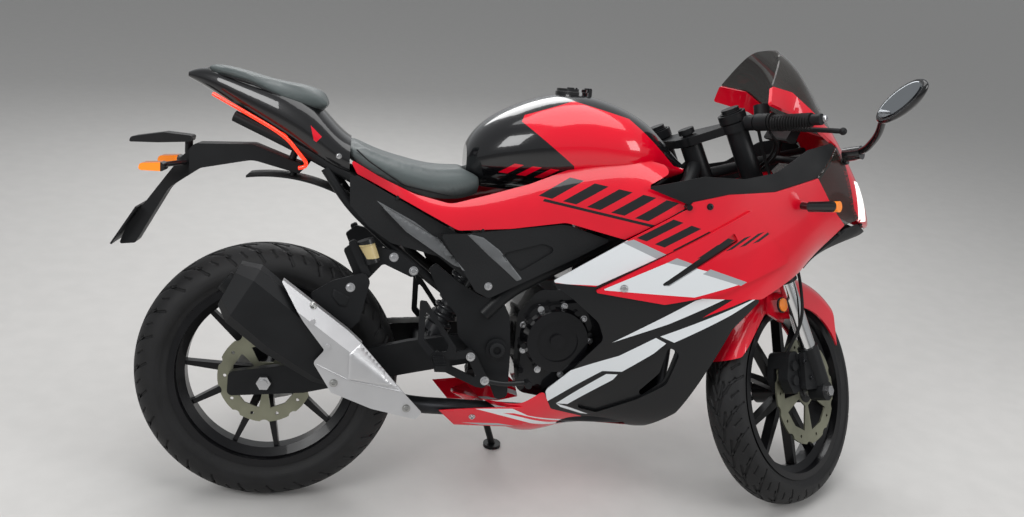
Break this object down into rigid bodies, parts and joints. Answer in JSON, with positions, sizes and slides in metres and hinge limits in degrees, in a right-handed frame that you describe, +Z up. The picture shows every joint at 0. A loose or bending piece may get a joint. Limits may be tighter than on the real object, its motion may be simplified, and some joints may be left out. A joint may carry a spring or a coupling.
{
  "type": "sport bike",
  "caption": "Faired sport motorcycle leaning on its side stand, with turning wheels, steering, fold-up stand and a hinged filler cap.",
  "frame": {"origin": "on the ground at the middle of the footprint", "axes": "+X towards the front of the bike, +Y to its left, +Z up"},
  "size_m": [1.9429, 0.7524, 1.1545],
  "materials": {
    "tyre": "black rubber",
    "wheel_paint": "gloss black cast aluminium",
    "brake_disc": "brake disc",
    "sprocket": "sprocket",
    "frame_paint": "frame paint",
    "swingarm_paint": "swingarm paint",
    "bolt_steel": "bolt steel",
    "shock": "shock",
    "engine_paint": "engine paint",
    "engine_cover": "engine cover",
    "radiator": "radiator",
    "chain": "chain",
    "caliper": "caliper",
    "exhaust": "exhaust",
    "muffler_black": "muffler black",
    "shield_silver": "shield silver",
    "fairing_white": "white gloss",
    "fairing_dark": "fairing dark",
    "wing_white": "wing white",
    "body_red": "bright red gloss",
    "pad_dark": "pad dark",
    "tank_black": "tank black",
    "cap_black": "cap black",
    "seat_vinyl": "grey vinyl",
    "tail_lens": "tail lens",
    "tail_black": "tail black",
    "plastic_black": "plastic black",
    "indicator": "indicator",
    "lamp_lens": "lamp lens",
    "screen_smoke": "screen smoke",
    "mirror_black": "mirror black",
    "rest_metal": "rest metal",
    "fork_black": "fork black",
    "fork_chrome": "fork chrome",
    "yoke": "yoke",
    "bar_black": "bar black",
    "grip_rubber": "grip rubber",
    "control_plastic": "control plastic",
    "hose_rubber": "hose rubber",
    "stand_black": "stand black"
  },
  "bodies": {
    "chassis": {"frame": "frame_paint", "swingarm": "swingarm_paint", "through_bolts": "bolt_steel", "rear_shock": "shock", "engine_block": "engine_paint", "engine_covers": "engine_cover", "radiator": "radiator", "chain": "chain", "rear_caliper": "caliper", "exhaust_pipe": "exhaust", "muffler": "muffler_black", "heat_shield": "shield_silver", "upper_fairings": "fairing_white", "lower_fairings": "fairing_dark", "wing_panels": "wing_white", "belly_pan": "body_red", "side_covers": "body_red", "side_pads": "pad_dark", "fuel_tank": "tank_black", "rider_seat": "seat_vinyl", "pillion_seat": "seat_vinyl", "tail_light": "tail_lens", "tail_cowl": "tail_black", "undertray": "plastic_black", "rear_fender": "plastic_black", "indicators": "indicator", "nose_cowl": "body_red", "headlights": "lamp_lens", "nose_chin": "plastic_black", "windscreen": "screen_smoke", "cockpit_trim": "plastic_black", "dash_stay": "plastic_black", "mirrors": "mirror_black", "footrests": "rest_metal", "foot_controls": "rest_metal", "fairing_stays": "frame_paint"},
    "rear_wheel": {"rear_tyre": "tyre", "rear_rim": "wheel_paint", "rear_disc": "brake_disc", "rear_sprocket": "sprocket"},
    "steering": {"fork_outers": "fork_black", "fork_inners": "fork_chrome", "fork_bottoms": "fork_black", "front_axle": "bolt_steel", "triple_clamps": "yoke", "handlebars": "bar_black", "grips": "grip_rubber", "bar_controls": "control_plastic", "front_fender": "body_red", "front_caliper": "caliper", "brake_hose": "hose_rubber"},
    "front_wheel": {"front_tyre": "tyre", "front_rim": "wheel_paint", "front_disc": "brake_disc"},
    "side_stand": {"side_stand": "stand_black"},
    "filler_cap": {"tank_cap": "cap_black"}
  },
  "joints": [
    {"name": "rear_wheel_spin", "type": "hinge", "parent": "chassis", "child": "rear_wheel", "pos_m": [-0.61419, -0.13228, 0.30985], "axis": [-0.0013, 0.9817, -0.1905], "continuous": true},
    {"name": "steering_turn", "type": "hinge", "parent": "chassis", "child": "steering", "pos_m": [0.69836, -0.1387, 0.2677], "axis": [-0.4165, 0.1726, 0.8926], "range_deg": [-78, 0]},
    {"name": "front_wheel_spin", "type": "hinge", "parent": "steering", "child": "front_wheel", "pos_m": [0.71953, -0.11829, 0.27363], "axis": [-0.5732, 0.7123, -0.4052], "continuous": true},
    {"name": "side_stand_fold", "type": "hinge", "parent": "chassis", "child": "side_stand", "pos_m": [-0.09956, 0.00255, 0.25568], "axis": [0.0011, 0.9876, 0.1568], "range_deg": [0, 95]},
    {"name": "filler_cap_open", "type": "hinge", "parent": "chassis", "child": "filler_cap", "pos_m": [0.13273, 0.00619, 1.01839], "axis": [-0.0013, 0.9817, -0.1905], "range_deg": [0, 95]}
  ]
}
